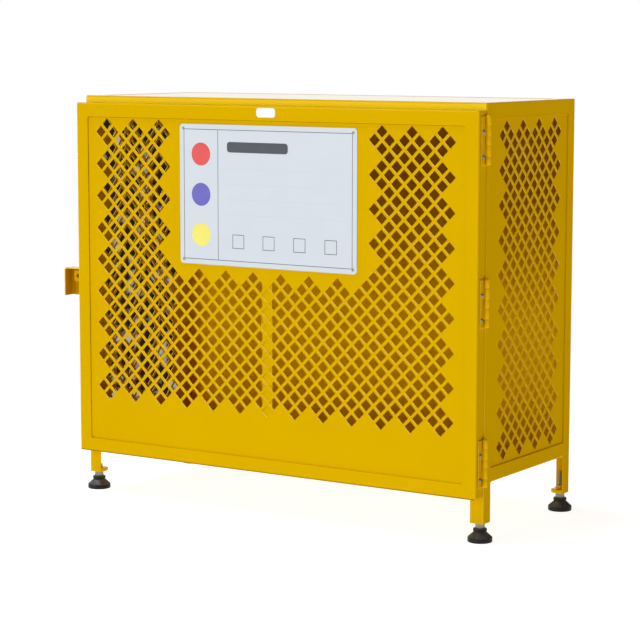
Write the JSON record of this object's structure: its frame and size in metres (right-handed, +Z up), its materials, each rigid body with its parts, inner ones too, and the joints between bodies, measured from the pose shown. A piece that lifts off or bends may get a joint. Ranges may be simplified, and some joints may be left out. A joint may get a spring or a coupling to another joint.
{
  "type": "gas cylinder cage",
  "caption": "Free-standing angle-iron storage cage for upright gas cylinders, with a full-width perforated swing door, perforated sides, a padlock shroud and levelling feet.",
  "frame": {"origin": "on the ground under the middle of the overall box", "axes": "+X towards the door's hinges, +Y from the door to the back, +Z up"},
  "size_m": [1.354, 0.5462, 1.12],
  "materials": {
    "yellow_enamel": "semi-gloss baked enamel over steel",
    "zinc_plated_steel": "bright zinc plate",
    "white_sign_plate": "satin white coated plate",
    "black_rubber": "moulded, satin"
  },
  "bodies": {
    "cabinet": {"post_front_left": "yellow_enamel", "post_front_right": "yellow_enamel", "post_rear_left": "yellow_enamel", "post_rear_right": "yellow_enamel", "top_rail_front": "yellow_enamel", "top_rail_right": "yellow_enamel", "top_rail_rear": "yellow_enamel", "top_rail_left": "yellow_enamel", "bottom_rail_front": "yellow_enamel", "bottom_rail_rear": "yellow_enamel", "bottom_rail_left": "yellow_enamel", "bottom_rail_right": "yellow_enamel", "side_sheet_left": "yellow_enamel", "side_sheet_right": "yellow_enamel", "back_sheet": "yellow_enamel", "roof_sheet": "yellow_enamel", "floor_sheet": "yellow_enamel", "lock_shroud": "yellow_enamel", "foot_lug_front_left": "yellow_enamel", "foot_lug_front_right": "yellow_enamel", "foot_lug_rear_left": "yellow_enamel", "foot_lug_rear_right": "yellow_enamel", "foot_nuts": "yellow_enamel", "hinge_frame_leaf_top": "yellow_enamel", "hinge_frame_leaf_middle": "yellow_enamel", "hinge_frame_leaf_bottom": "yellow_enamel", "hinge_pin_top": "yellow_enamel", "hinge_pin_middle": "yellow_enamel", "hinge_pin_bottom": "yellow_enamel"},
    "door": {"door_stile_left": "yellow_enamel", "door_stile_right": "yellow_enamel", "door_rail_top": "yellow_enamel", "door_rail_bottom": "yellow_enamel", "door_sheet": "yellow_enamel", "door_stiffener": "yellow_enamel", "sign_plate": "white_sign_plate", "sign_rivets": "zinc_plated_steel", "hinge_door_leaf_top": "yellow_enamel", "hinge_door_leaf_middle": "yellow_enamel", "hinge_door_leaf_bottom": "yellow_enamel", "hinge_screws": "zinc_plated_steel", "hinge_nuts": "zinc_plated_steel", "hasp_tab": "yellow_enamel"},
    "pad_front_left": {"foot_pad_front_left": "black_rubber"},
    "stud_front_left": {"foot_stud_front_left": "zinc_plated_steel"},
    "pad_front_right": {"foot_pad_front_right": "black_rubber"},
    "stud_front_right": {"foot_stud_front_right": "zinc_plated_steel"},
    "pad_rear_left": {"foot_pad_rear_left": "black_rubber"},
    "stud_rear_left": {"foot_stud_rear_left": "zinc_plated_steel"},
    "pad_rear_right": {"foot_pad_rear_right": "black_rubber"},
    "stud_rear_right": {"foot_stud_rear_right": "zinc_plated_steel"}
  },
  "joints": [
    {"name": "door_swing", "type": "hinge", "parent": "cabinet", "child": "door", "pos_m": [0.67, -0.23795, 0.6095], "axis": [0, 0, 1], "range_deg": [0, 180]},
    {"name": "foot_level_front_left", "type": "slide", "parent": "cabinet", "child": "pad_front_left", "axis": [0, 0, -1], "range_m": [0, 0.025]},
    {"name": "foot_turn_front_left", "type": "hinge", "parent": "pad_front_left", "child": "stud_front_left", "pos_m": [-0.597, -0.21295, 0.04], "axis": [0, 0, -1], "range_deg": [0, 5143.4]},
    {"name": "foot_level_front_right", "type": "slide", "parent": "cabinet", "child": "pad_front_right", "axis": [0, 0, -1], "range_m": [0, 0.025]},
    {"name": "foot_turn_front_right", "type": "hinge", "parent": "pad_front_right", "child": "stud_front_right", "pos_m": [0.645, -0.21295, 0.04], "axis": [0, 0, -1], "range_deg": [0, 5143.4]},
    {"name": "foot_level_rear_left", "type": "slide", "parent": "cabinet", "child": "pad_rear_left", "axis": [0, 0, -1], "range_m": [0, 0.025]},
    {"name": "foot_turn_rear_left", "type": "hinge", "parent": "pad_rear_left", "child": "stud_rear_left", "pos_m": [-0.597, 0.24105, 0.04], "axis": [0, 0, -1], "range_deg": [0, 5143.4]},
    {"name": "foot_level_rear_right", "type": "slide", "parent": "cabinet", "child": "pad_rear_right", "axis": [0, 0, -1], "range_m": [0, 0.025]},
    {"name": "foot_turn_rear_right", "type": "hinge", "parent": "pad_rear_right", "child": "stud_rear_right", "pos_m": [0.645, 0.24105, 0.04], "axis": [0, 0, -1], "range_deg": [0, 5143.4]}
  ],
  "couplings": [
    {"joint": "foot_turn_front_left", "follows": "foot_level_front_left", "rad_per_m": 3590.4},
    {"joint": "foot_turn_front_right", "follows": "foot_level_front_right", "rad_per_m": 3590.4},
    {"joint": "foot_turn_rear_left", "follows": "foot_level_rear_left", "rad_per_m": 3590.4},
    {"joint": "foot_turn_rear_right", "follows": "foot_level_rear_right", "rad_per_m": 3590.4}
  ]
}
